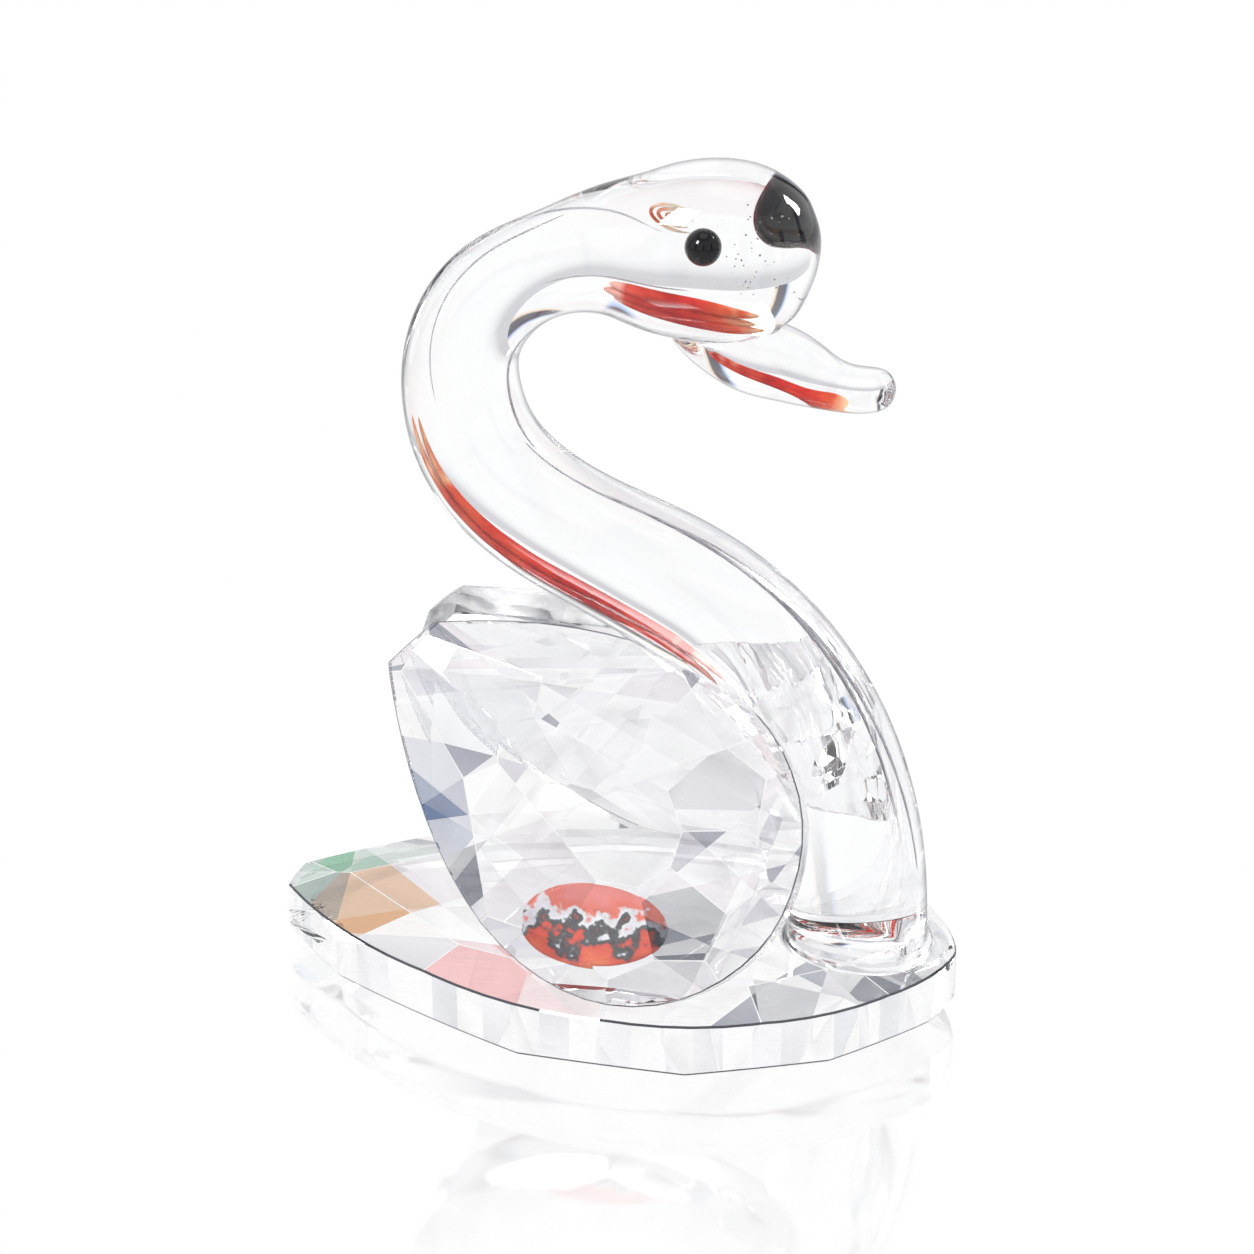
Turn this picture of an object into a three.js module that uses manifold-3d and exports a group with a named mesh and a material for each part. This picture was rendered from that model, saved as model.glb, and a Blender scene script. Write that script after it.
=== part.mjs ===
// Crystal swan figurine: a cut base, two cut wings leaning together over it, and a
// drawn glass neck with a head and beak, with two black glass eyes.
// Millimetres. The swan faces +X, its left side is +Y, and it stands on Z = 0.

import * as THREE from 'three';
import { ConvexGeometry } from 'three/addons/geometries/ConvexGeometry.js';
import { mergeVertices } from 'three/addons/utils/BufferGeometryUtils.js';
import Module from 'manifold-3d';

// Clearances
const GLUE_GAP = 0.3;          // between pieces that are glued together
const EYE_CLEARANCE = 0.3;     // between an eye bead and its socket

// Base plate, a pear-shaped stone lying flat
const BASE_LENGTH = 64;
const BASE_WIDTH = 40.6;
const BASE_FOOT_INSET = 4.2;   // how far the flat underside stays inside the rim
const BASE_LOW_EDGE = 2.2;     // height of the lower edge of the upright band
const BASE_BAND = 4.5;         // height of the upright band
const BASE_CROWN = 0.9;        // rise of the top facets to the flat table
const BASE_TABLE_INSET = 6.0;  // how far the table stays inside the rim
const BASE_TIP_CUT = 1.6;      // how much of the tail's point is ground off
const BASE_SIDES = 72;
const BASE_FACETS = 14;        // flat facets round the crown, and as many round the underside

// Wings, two pear-shaped stones standing on their round ends
const WING_LENGTH = 45;
const WING_WIDTH = 31;
const WING_EDGE = 2.9;         // thickness of the flat edge band
const WING_OUTER_RISE = 1.9;   // how far the outer facets stand proud of the band
const WING_INNER_RISE = 1.0;   // the same for the inner facets
const WING_STEEP = 17;         // degrees, slope of the outer facets next to the band
const WING_SHALLOW = 6.5;      // degrees, slope of the outer facets next to the flat middle
const WING_STEEP_WIDTH = 3.5;  // how far in from the band the shallow facets take over
const WING_INNER_SLOPE = 14;   // degrees, slope of the inner facets
const WING_FACETS = 9;
const WING_SIDES = 56;
const WING_PITCH = 32.5;       // degrees, how far the pointed end is lifted
const WING_TIP_CUT = 2.5;      // how much of the point is ground off, along the middle
const WING_TIP_SLANT = 11;     // degrees, and how far that cut slants
const WING_RIDGE_GAP = 2.2;    // between the bands of the two wings where they lean closest
const WING_FOOT_X = 4.0;       // where the lowest point of a wing stands
const WING_FOOT_INSET = 1.2;   // how far the foot stays inside the base's rim
const WING_FOOT_SINK = 0.2;    // how much the outer edge is ground off at the foot

// Neck, head and beak, drawn from one rod
const NECK_FOOT_X = 22.6;
const NECK_FOOT_RADIUS = 6.3;
const NECK_ROD_RADIUS = 6.0;
const NECK_TOP_RADIUS = 4.75;
const NECK_SEAT_DEPTH = 1.0;   // how far the rod starts below the base's top before it is ground flat
const HEAD_RADIUS = 8.1;
const HEAD_HALF_WIDTH = 6.9;
const BEAK_RADIUS = 3.3;
const BEAK_HALF_WIDTH = 3.9;
const FIGURE_HEIGHT = 80.2;
const RING_POINTS = 30;
const NECK_STEPS = 80;
const BEAK_STEPS = 24;

// Eyes
const EYE_DIAMETER = 3.2;
const EYE_SIDES = 20;
const EYE_X = FIGURE_HEIGHT * 0.1122;
const EYE_Z = FIGURE_HEIGHT * 0.9264;
const EYE_Y = HEAD_HALF_WIDTH * 0.87;
const LEFT_EYE_FORWARD = 2.7;  // the left eye was set by hand a little further forward
const LEFT_EYE_LOWER = 1.8;    // and lower than the right one

const BASE_RIM_TOP = BASE_LOW_EDGE + BASE_BAND;
const BASE_TOP = BASE_RIM_TOP + BASE_CROWN;
const WING_FOOT_Y = BASE_WIDTH / 2 - WING_FOOT_INSET;
const RIGHT_EYE = [EYE_X, -EYE_Y, EYE_Z];
const LEFT_EYE = [EYE_X + LEFT_EYE_FORWARD, EYE_Y, EYE_Z - LEFT_EYE_LOWER];

const wasm = await Module();
wasm.setup();

function solidOf(geometry) {
  const bare = geometry.clone();
  bare.deleteAttribute('normal');
  bare.deleteAttribute('uv');
  const merged = mergeVertices(bare, 1e-4);
  return new wasm.Manifold(new wasm.Mesh({
    numProp: 3,
    vertProperties: new Float32Array(merged.attributes.position.array),
    triVerts: new Uint32Array(merged.index.array),
  }));
}

function geometryOf(solid) {
  const mesh = solid.getMesh();
  const geometry = new THREE.BufferGeometry();
  geometry.setAttribute('position', new THREE.BufferAttribute(new Float32Array(mesh.vertProperties), 3));
  geometry.setIndex(new THREE.BufferAttribute(new Uint32Array(mesh.triVerts), 1));
  geometry.computeVertexNormals();
  return geometry;
}

// Pear outline. Turn 0 is the pointed end at -length / 2 and turn PI the round end.
// Fullness above 1 narrows both ends, and taper draws out the pointed one.
function pearOutline(length, width, sides, fullness, taper) {
  const shape = (turn) => Math.sin(turn) ** fullness * Math.sin(turn / 2) ** taper;
  let widest = 0;
  for (let turn = 0; turn < Math.PI; turn += 0.01) {
    widest = Math.max(widest, shape(turn));
  }
  const points = [];
  for (let i = 0; i < sides; i += 1) {
    const around = (i + 0.5) / sides * 2 * Math.PI;
    const turn = around <= Math.PI ? around : 2 * Math.PI - around;
    const side = around <= Math.PI ? -1 : 1;
    const across = side * width / 2 * shape(turn) / widest;
    points.push(new THREE.Vector2(-length / 2 * Math.cos(turn), across));
  }
  return points;
}

// A plate of the outline between two heights
function plate(outline, low, high) {
  const corners = outline.flatMap(({ x, y }) => [new THREE.Vector3(x, y, low), new THREE.Vector3(x, y, high)]);
  return solidOf(new ConvexGeometry(corners));
}

// Grinds a ring of flat facets on a plate. Each facet slopes up from the plate's edge at
// the given height, or from a line that lies inset from it. On the underside it slopes down.
function grindRing(stone, outline, { count, start = 0, slope, height, inset = 0, underside = false }) {
  const tilt = THREE.MathUtils.degToRad(slope);
  const up = underside ? -Math.cos(tilt) : Math.cos(tilt);
  let ground = stone;
  for (let i = 0; i < count; i += 1) {
    const turn = (i + start) / count * 2 * Math.PI;
    const across = new THREE.Vector2(Math.cos(turn), Math.sin(turn));
    const reach = Math.max(...outline.map((point) => point.dot(across))) - inset;
    const outwards = [across.x * Math.sin(tilt), across.y * Math.sin(tilt), up];
    const offset = reach * Math.sin(tilt) + height * up;
    ground = ground.trimByPlane(outwards.map((value) => -value), -offset);
  }
  return ground;
}

// Base

function makeBase() {
  const outline = pearOutline(BASE_LENGTH + BASE_TIP_CUT, BASE_WIDTH, BASE_SIDES, 1.3, 0.45);
  const crownSlope = THREE.MathUtils.radToDeg(Math.atan2(BASE_CROWN, BASE_TABLE_INSET));
  const footSlope = THREE.MathUtils.radToDeg(Math.atan2(BASE_LOW_EDGE, BASE_FOOT_INSET));
  let pear = plate(outline, 0, BASE_TOP);
  pear = grindRing(pear, outline, { count: BASE_FACETS, slope: crownSlope, height: BASE_RIM_TOP });
  pear = grindRing(pear, outline, {
    count: BASE_FACETS, start: 0.5, slope: footSlope, height: BASE_LOW_EDGE, underside: true,
  });
  return pear.translate([-BASE_TIP_CUT / 2, 0, 0]).trimByPlane([1, 0, 0], -BASE_LENGTH / 2);
}

// Wings. The stone is cut lying flat, outer face up, with its pointed end at -X,
// then pitched, leaned and set on its foot on the swan's right side.

function makeWing(base) {
  const outline = pearOutline(WING_LENGTH, WING_WIDTH, WING_SIDES, 1.05, 0.8);
  let pear = plate(outline, -WING_EDGE - WING_INNER_RISE, WING_OUTER_RISE);
  pear = grindRing(pear, outline, { count: WING_FACETS, slope: WING_STEEP, height: 0 });
  pear = grindRing(pear, outline, {
    count: WING_FACETS,
    start: 0.5,
    slope: WING_SHALLOW,
    height: WING_STEEP_WIDTH * Math.tan(THREE.MathUtils.degToRad(WING_STEEP)),
    inset: WING_STEEP_WIDTH,
  });
  pear = grindRing(pear, outline, {
    count: WING_FACETS, start: 0.5, slope: WING_INNER_SLOPE, height: -WING_EDGE, underside: true,
  });
  const slant = THREE.MathUtils.degToRad(WING_TIP_SLANT);
  const tipCut = (WING_TIP_CUT - WING_LENGTH / 2) * Math.cos(slant);
  pear = pear.trimByPlane([Math.cos(slant), -Math.sin(slant), 0], tipCut);
  const [lowest, highest] = endsOfOutline(outline);
  const lean = THREE.MathUtils.radToDeg(wingLean(highest.y - lowest.y));
  const stone = pear
    .rotate([0, 0, -WING_PITCH])
    .translate([-lowest.x, -lowest.y, 0])
    .rotate([90 - lean, 0, 0])
    .translate([WING_FOOT_X, -WING_FOOT_Y, BASE_TOP + GLUE_GAP - WING_FOOT_SINK]);
  const seat = base.translate([0, 0, GLUE_GAP]);
  const neckSeat = drawnGlass(neckStations(), NECK_STEPS, GLUE_GAP);
  return stone.subtract(seat).subtract(solidOf(neckSeat));
}

// The lowest and the highest point of the pitched outline
function endsOfOutline(outline) {
  const turn = -THREE.MathUtils.degToRad(WING_PITCH);
  const turned = outline.map((point) => point.clone().rotateAround(new THREE.Vector2(), turn));
  turned.sort((a, b) => a.y - b.y);
  return [turned[0], turned[turned.length - 1]];
}

// The lean, in radians, that brings the tops of the two wings to the ridge gap
function wingLean(height) {
  const reach = WING_FOOT_Y - WING_RIDGE_GAP / 2;
  return Math.asin(reach / Math.hypot(height, WING_EDGE)) - Math.atan2(WING_EDGE, height);
}

// Neck, head and beak. Each station is a place in the XZ plane, a radius in that
// plane and a half width across it. Smooth curves run through the stations.

function drawnGlass(stations, steps, clearance = 0) {
  const path = new THREE.CatmullRomCurve3(stations.map(([x, z]) => new THREE.Vector3(x, 0, z)));
  const sizes = new THREE.SplineCurve(stations.map(([, , radius, half]) => new THREE.Vector2(radius, half)));
  const rings = [];
  for (let i = 0; i <= steps; i += 1) {
    const share = i / steps;
    const centre = path.getPoint(share);
    const along = path.getTangent(share);
    const up = new THREE.Vector3(-along.z, 0, along.x);
    const size = sizes.getPoint(share);
    const ring = [];
    for (let j = 0; j < RING_POINTS; j += 1) {
      const turn = j / RING_POINTS * 2 * Math.PI;
      const point = centre.clone().addScaledVector(up, (size.x + clearance) * Math.sin(turn));
      point.y += (size.y + clearance) * Math.cos(turn);
      ring.push(point);
    }
    rings.push(ring);
  }
  return loft(rings);
}

function loft(rings) {
  const positions = [];
  const faces = [];
  const count = rings[0].length;
  for (const ring of rings) {
    for (const point of ring) positions.push(...point.toArray());
  }
  for (let i = 0; i + 1 < rings.length; i += 1) {
    for (let j = 0; j < count; j += 1) {
      const here = i * count + j;
      const next = i * count + (j + 1) % count;
      faces.push(here, next, here + count, next, next + count, here + count);
    }
  }
  const last = (rings.length - 1) * count;
  for (let j = 1; j + 1 < count; j += 1) {
    faces.push(0, j + 1, j, last, last + j, last + j + 1);
  }
  const geometry = new THREE.BufferGeometry();
  geometry.setAttribute('position', new THREE.Float32BufferAttribute(positions, 3));
  geometry.setIndex(faces);
  return geometry;
}

// Stations are shares of the figure's height, so the pose holds at any size
function posed(stations) {
  const unit = FIGURE_HEIGHT / 100;
  return stations.map(([x, z, radius, half]) => [x * unit, z * unit, radius, half]);
}

function neckStations() {
  const foot = NECK_FOOT_RADIUS;
  const rod = NECK_ROD_RADIUS;
  const thin = NECK_TOP_RADIUS;
  const head = HEAD_RADIUS;
  const wide = HEAD_HALF_WIDTH;
  const footX = NECK_FOOT_X / FIGURE_HEIGHT * 100;
  const footZ = (BASE_TOP - NECK_SEAT_DEPTH) / FIGURE_HEIGHT * 100;
  return posed([
    [footX + 0.4, footZ, foot, foot],
    [footX, footZ + 5.8, foot * 1.03, foot * 1.03],
    [27.2, 22.5, foot * 1.03, foot * 1.03],
    [24.6, 31.4, foot * 1.02, foot * 1.02],
    [20.6, 39.0, foot, foot],
    [14.4, 45.8, foot, foot],
    [5.6, 51.2, foot, foot],
    [-2.6, 54.8, rod, rod],
    [-10.4, 59.0, rod * 0.98, rod * 0.98],
    [-15.8, 64.6, rod * 0.95, rod * 0.95],
    [-18.0, 71.2, rod * 0.9, rod * 0.9],
    [-17.6, 77.4, thin * 1.07, thin * 1.07],
    [-13.6, 83.6, thin * 1.02, thin * 1.02],
    [-7.0, 87.4, thin, thin],
    [-0.6, 89.1, thin * 1.26, thin * 1.14],
    [4.6, 89.4, head * 0.9, wide * 0.92],
    [10.6, 89.9, head, wide],
    [15.4, 89.8, head * 0.95, wide * 0.96],
    [18.3, 89.5, head * 0.8, wide * 0.84],
    [20.2, 89.25, head * 0.62, wide * 0.67],
    [21.4, 89.1, head * 0.38, wide * 0.42],
    [22.0, 89.0, head * 0.05, wide * 0.05],
  ]);
}

function beakStations() {
  const tall = BEAK_RADIUS;
  const wide = BEAK_HALF_WIDTH;
  return posed([
    [6.4, 80.8, tall * 0.15, wide * 0.4],
    [10.4, 79.6, tall * 0.7, wide * 0.85],
    [14.8, 78.6, tall, wide],
    [18.4, 77.8, tall * 0.98, wide * 0.98],
    [21.0, 76.9, tall * 0.86, wide * 0.9],
    [23.6, 76.0, tall * 0.68, wide * 0.82],
    [26.2, 75.6, tall * 0.6, wide * 0.78],
    [28.6, 75.7, tall * 0.56, wide * 0.72],
    [30.2, 75.9, tall * 0.38, wide * 0.5],
    [30.8, 76.0, tall * 0.08, wide * 0.1],
  ]);
}

function makeNeckAndHead(base) {
  const neckAndHead = drawnGlass(neckStations(), NECK_STEPS);
  const beak = drawnGlass(beakStations(), BEAK_STEPS);
  let whole = solidOf(neckAndHead).add(solidOf(beak));
  whole = whole.subtract(base.translate([0, 0, GLUE_GAP]));
  for (const centre of [RIGHT_EYE, LEFT_EYE]) {
    const socket = eyeBall(EYE_DIAMETER / 2 + EYE_CLEARANCE);
    socket.translate(...centre);
    whole = whole.subtract(solidOf(socket));
  }
  return whole;
}

function eyeBall(radius) {
  return new THREE.SphereGeometry(radius, EYE_SIDES, EYE_SIDES * 0.7);
}

// Assembly

const clearGlass = { color: 0xeef1f5, roughness: 0.02, metalness: 0, transparent: true, opacity: 0.35 };
const swan = new THREE.Group();

function place(name, geometry, options = clearGlass) {
  const mesh = new THREE.Mesh(geometry, new THREE.MeshStandardMaterial({ ...options, flatShading: true }));
  mesh.name = name;
  swan.add(mesh);
  return mesh;
}

const base = makeBase();
const neckAndHead = makeNeckAndHead(base);
const rightWing = makeWing(base);

place('base', geometryOf(base));
place('wing_right', geometryOf(rightWing));
place('wing_left', geometryOf(rightWing.mirror([0, 1, 0])));
place('neck_and_head', geometryOf(neckAndHead));

for (const [name, centre] of [['eye_right', RIGHT_EYE], ['eye_left', LEFT_EYE]]) {
  const bead = eyeBall(EYE_DIAMETER / 2);
  const eye = place(name, bead, { color: 0x050506, roughness: 0.05, metalness: 0 });
  eye.position.set(...centre);
}

export default swan;
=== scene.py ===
# %% [markdown]
# # A clear crystal swan
# A small ornament of cut and drawn glass. A pear-shaped plate lies flat, two pear-shaped
# stones lean together over it as wings, and one bent rod of glass makes neck, head and beak.
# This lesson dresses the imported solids: it adds the camera and the light, crisp polished
# edges, a smooth neck, the colour that is sealed in the glass, the eyes and the glue.
# Everything is in metres, with the swan facing +X and standing on Z = 0.

# %% Load the frame
import bpy
import bmesh
import math
import random
import numpy as np
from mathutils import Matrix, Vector


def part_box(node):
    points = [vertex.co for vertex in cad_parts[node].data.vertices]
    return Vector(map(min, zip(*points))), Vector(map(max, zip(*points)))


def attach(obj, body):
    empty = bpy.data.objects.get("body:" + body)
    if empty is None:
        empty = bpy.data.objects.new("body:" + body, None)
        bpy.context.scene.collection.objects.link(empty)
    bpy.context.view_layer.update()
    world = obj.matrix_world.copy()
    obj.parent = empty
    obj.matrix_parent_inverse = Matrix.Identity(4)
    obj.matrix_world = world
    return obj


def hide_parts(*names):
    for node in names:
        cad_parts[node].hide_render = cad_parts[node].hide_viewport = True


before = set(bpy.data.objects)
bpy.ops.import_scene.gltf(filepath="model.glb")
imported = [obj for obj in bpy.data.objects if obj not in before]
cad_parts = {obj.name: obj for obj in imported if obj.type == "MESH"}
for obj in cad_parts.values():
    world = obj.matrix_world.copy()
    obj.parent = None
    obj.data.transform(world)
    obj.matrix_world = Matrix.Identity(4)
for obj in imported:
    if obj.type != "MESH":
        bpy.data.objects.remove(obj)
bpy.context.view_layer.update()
MM = 0.001
scene = bpy.context.scene
print("nodes:", sorted(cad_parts))

# %% [markdown]
# ## Camera
# The photograph looks a little down on the swan's right side. A long lens keeps the outline
# calm. The place was fitted to the rim of the base, and the height to the head.

# %% Camera
camera_data = bpy.data.cameras.new("camera")
camera_data.lens = 103.56
camera_data.sensor_width = 36
camera_data.clip_start = 0.01
camera = bpy.data.objects.new("camera", camera_data)
scene.collection.objects.link(camera)
camera.location = Vector((75.7, -291.1, 165.0)) * MM
aim = Vector((3.1, -9.0, 40.0)) * MM
camera.rotation_euler = (aim - camera.location).to_track_quat("-Z", "Y").to_euler()
scene.camera = camera
scene.view_settings.view_transform = "Standard"
scene.view_settings.look = "None"
for bounces in ("max_bounces", "transmission_bounces", "transparent_max_bounces"):
    setattr(scene.cycles, bounces, 24)
scene.cycles.glossy_bounces = 12

# %% [markdown]
# ## Node helpers
# Every material is a small network of nodes. A helper that adds one node, sets its inputs
# and links them keeps each network readable.

# %% Node helpers
def add_node(tree, kind, settings=None, **inputs):
    node = tree.nodes.new(kind)
    for name, value in (settings or {}).items():
        setattr(node, name, value)
    for name, value in inputs.items():
        socket = node.inputs[int(name[1:])] if name[0] == "_" else node.inputs[name.replace("_", " ")]
        if isinstance(value, bpy.types.NodeSocket):
            tree.links.new(value, socket)
        else:
            socket.default_value = value
    return node


def math_node(tree, operation, *values, clamp=False):
    return add_node(tree, "ShaderNodeMath", {"operation": operation, "use_clamp": clamp},
                    **{f"_{i}": value for i, value in enumerate(values)}).outputs[0]


def ramp(tree, value, stops, interpolation="LINEAR"):
    node = add_node(tree, "ShaderNodeValToRGB", Fac=value)
    node.color_ramp.interpolation = interpolation
    while len(node.color_ramp.elements) < len(stops):
        node.color_ramp.elements.new(0.5)
    for element, (place, color) in zip(node.color_ramp.elements, stops):
        element.position = place
        element.color = (*color, 1)
    return node.outputs["Color"]


def remap(tree, value, low, high, to_low=0.0, to_high=1.0):
    node = add_node(tree, "ShaderNodeMapRange", {"interpolation_type": "SMOOTHSTEP"}, Value=value)
    for name, number in (("From Min", low), ("From Max", high), ("To Min", to_low), ("To Max", to_high)):
        node.inputs[name].default_value = number
    return node.outputs["Result"]


# %% [markdown]
# ## A white studio with dark gaps
# Clear glass has no colour of its own: it shows what stands round it. In an even white room
# it would vanish, so the studio has a white wall broken by narrow dark gaps and a dim
# ceiling. Glass bends these into the dark lines and grey facets of the photograph. The
# camera itself sees plain white. The gaps have a warm and a cool side, which stands in for
# the fire of cut crystal, because the renderer doesn't split light into its colours.

# %% Studio
def make_studio():
    world = bpy.data.worlds.new("studio")
    world.use_nodes = True
    tree = world.node_tree
    tree.nodes.clear()
    direction = add_node(tree, "ShaderNodeTexCoord").outputs["Generated"]
    axes = add_node(tree, "ShaderNodeSeparateXYZ", Vector=direction)
    turn = math_node(tree, "ARCTAN2", axes.outputs["Y"], axes.outputs["X"])
    gap_place = math_node(tree, "FRACT", math_node(tree, "ADD", math_node(tree, "DIVIDE", turn, math.tau / 7), 0.96))
    wall = ramp(tree, gap_place, [
        (0.0, (1, 1, 1)), (0.36, (1, 1, 1)), (0.40, (1.0, 0.80, 0.62)), (0.43, (0.16, 0.15, 0.17)),
        (0.55, (0.12, 0.13, 0.16)), (0.59, (0.55, 0.70, 1.0)), (0.63, (1, 1, 1)), (1.0, (1, 1, 1))])
    height = remap(tree, axes.outputs["Z"], 0.42, 0.60)
    wall = add_node(tree, "ShaderNodeMix", {"data_type": "RGBA"}, Factor=height, _6=wall, _7=(1, 1, 1, 1)).outputs[2]
    ceiling = remap(tree, axes.outputs["Z"], 0.74, 0.80)
    lamp = remap(tree, axes.outputs["Z"], 0.93, 0.96)
    room = add_node(tree, "ShaderNodeMix", {"data_type": "RGBA"}, Factor=ceiling, _6=wall, _7=(0.60, 0.60, 0.64, 1)).outputs[2]
    room = add_node(tree, "ShaderNodeMix", {"data_type": "RGBA"}, Factor=lamp, _6=room, _7=(1.6, 1.6, 1.6, 1)).outputs[2]
    seen = add_node(tree, "ShaderNodeLightPath").outputs["Is Camera Ray"]
    color = add_node(tree, "ShaderNodeMix", {"data_type": "RGBA"}, Factor=seen, _6=room, _7=(1, 1, 1, 1)).outputs[2]
    background = add_node(tree, "ShaderNodeBackground", Color=color, Strength=1.0)
    tree.links.new(background.outputs[0], add_node(tree, "ShaderNodeOutputWorld").inputs["Surface"])
    return world


scene.world = make_studio()


def soft_lamp(name, place, size, power):
    data = bpy.data.lights.new(name, "AREA")
    data.shape = "RECTANGLE"
    data.size, data.size_y = size
    data.energy = power
    lamp = bpy.data.objects.new(name, data)
    scene.collection.objects.link(lamp)
    lamp.location = place
    lamp.rotation_euler = (aim - lamp.location).to_track_quat("-Z", "Y").to_euler()
    lamp.visible_camera = False
    return lamp


soft_lamp("window", Vector((-0.30, -0.42, 0.52)), (0.16, 0.22), 5)
soft_lamp("rim", Vector((0.45, 0.35, 0.40)), (0.12, 0.30), 4)

# %% [markdown]
# ## Floor
# The floor is a lit white sheet with a gloss on it. It reflects the swan faintly, and the
# reflection fades away from the base. Away from the swan the sheet is dimmer for the light
# that reaches the glass, which gives the glass its darker undersides.

# %% Floor
def make_floor():
    mesh = bpy.data.meshes.new("floor")
    half = 1.5
    mesh.from_pydata([(-half, -half, 0), (half, -half, 0), (half, half, 0), (-half, half, 0)], [], [(0, 1, 2, 3)])
    floor = bpy.data.objects.new("floor", mesh)
    scene.collection.objects.link(floor)
    material = bpy.data.materials.new("lit white floor")
    material.use_nodes = True
    tree = material.node_tree
    tree.nodes.clear()
    place = add_node(tree, "ShaderNodeTexCoord").outputs["Object"]
    far = add_node(tree, "ShaderNodeVectorMath", {"operation": "LENGTH"}, _0=place).outputs["Value"]
    dim = ramp(tree, remap(tree, far, 0.22, 0.55), [(0, (1, 1, 1)), (1, (0.66, 0.66, 0.69))])
    seen = add_node(tree, "ShaderNodeLightPath").outputs["Is Camera Ray"]
    color = add_node(tree, "ShaderNodeMix", {"data_type": "RGBA"}, Factor=seen, _6=dim, _7=(1, 1, 1, 1)).outputs[2]
    sheet = add_node(tree, "ShaderNodeEmission", Color=color, Strength=1.0)
    gloss = add_node(tree, "ShaderNodeBsdfGlossy", Color=(1, 1, 1, 1), Roughness=0.06)
    fade = remap(tree, far, 0.024, 0.066, 0.40, 0.0)
    both = add_node(tree, "ShaderNodeMixShader", _0=fade, _1=sheet.outputs[0], _2=gloss.outputs[0])
    tree.links.new(both.outputs[0], add_node(tree, "ShaderNodeOutputMaterial").inputs["Surface"])
    mesh.materials.append(material)
    return floor


make_floor()

# %% [markdown]
# ## Shared finishes
# Two effects are used by several materials, so each is a node group. One is the faint
# waviness of glass that has been drawn hot. The other is polish: tiny changes of roughness
# and of tint that no real surface is without.

# %% Finish groups
def make_group(name, inputs, outputs):
    tree = bpy.data.node_groups.new(name, "ShaderNodeTree")
    for label, kind, value in inputs:
        tree.interface.new_socket(label, in_out="INPUT", socket_type=kind).default_value = value
    for label, kind in outputs:
        tree.interface.new_socket(label, in_out="OUTPUT", socket_type=kind)
    return tree, tree.nodes.new("NodeGroupInput").outputs, tree.nodes.new("NodeGroupOutput").inputs


def make_waviness():
    tree, inputs, outputs = make_group(
        "drawn waviness", [("Scale", "NodeSocketFloat", 90.0), ("Stretch", "NodeSocketFloat", 0.25)],
        [("Height", "NodeSocketFloat")])
    place = add_node(tree, "ShaderNodeTexCoord").outputs["Object"]
    squeeze = add_node(tree, "ShaderNodeCombineXYZ", X=1.0, Y=1.0, Z=inputs["Stretch"])
    stretched = add_node(tree, "ShaderNodeVectorMath", {"operation": "MULTIPLY"}, _0=place, _1=squeeze.outputs[0])
    noise = add_node(tree, "ShaderNodeTexNoise", Vector=stretched.outputs[0], Scale=inputs["Scale"], Detail=1.0)
    tree.links.new(noise.outputs["Fac"], outputs["Height"])
    return tree


def make_polish():
    tree, inputs, outputs = make_group(
        "polish", [("Roughest", "NodeSocketFloat", 0.02), ("Tint", "NodeSocketColor", (1, 1, 1, 1))],
        [("Roughness", "NodeSocketFloat"), ("Color", "NodeSocketColor")])
    place = add_node(tree, "ShaderNodeTexCoord").outputs["Object"]
    cloud = add_node(tree, "ShaderNodeTexNoise", Vector=place, Scale=140.0, Detail=4.0).outputs["Fac"]
    tree.links.new(math_node(tree, "MULTIPLY", cloud, inputs["Roughest"]), outputs["Roughness"])
    tinted = add_node(tree, "ShaderNodeMix", {"data_type": "RGBA"}, Factor=cloud, _6=(1, 1, 1, 1), _7=inputs["Tint"])
    tree.links.new(tinted.outputs[2], outputs["Color"])
    return tree


waviness = make_waviness()
polish = make_polish()

# %% [markdown]
# ## Clear glass
# Both kinds of clear glass share one recipe: full transmission and a refractive index of
# 1.52. Where a face turns edge on to the eye, real glass looks darker, as its light has come
# a long way round through the glass. Here that dark contour is painted shade: a facing
# weight darkens the base colour, the same from every side. The cut stones also carry
# painted fire and painted reflections, a colour on each facet for the fire of the cut and
# for the other facets mirrored in it. It's full for the eye and weaker for light on its way
# through, or many layers would add up to mud.

# %% Clear glass
def new_material(name, **sockets):
    material = bpy.data.materials.new(name)
    material.use_nodes = True
    tree = material.node_tree
    shader = tree.nodes["Principled BSDF"]
    for label, value in sockets.items():
        socket = shader.inputs[label.replace("_", " ")]
        if isinstance(value, bpy.types.NodeSocket):
            tree.links.new(value, socket)
        else:
            socket.default_value = value
    return material, tree, shader


def grouped(tree, group, **inputs):
    return add_node(tree, "ShaderNodeGroup", {"node_tree": group}, **inputs)


def multiply_colors(tree, first, second):
    return add_node(tree, "ShaderNodeMix", {"data_type": "RGBA", "blend_type": "MULTIPLY"}, Factor=1.0, _6=first, _7=second).outputs[2]


# Painted contour shade: the base colour darkens where a face turns edge on to the eye, for rays inside the glass only
# by the share inside.
def painted_contour_shade(tree, starts, ends, darkest, inside):
    facing = add_node(tree, "ShaderNodeLayerWeight", Blend=0.5).outputs["Facing"]
    seen = add_node(tree, "ShaderNodeLightPath").outputs["Is Camera Ray"]
    share = math_node(tree, "MULTIPLY", remap(tree, facing, starts, ends), remap(tree, seen, 0, 1, inside, 1.0))
    return ramp(tree, share, [(0, (1, 1, 1)), (1, darkest)])


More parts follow.
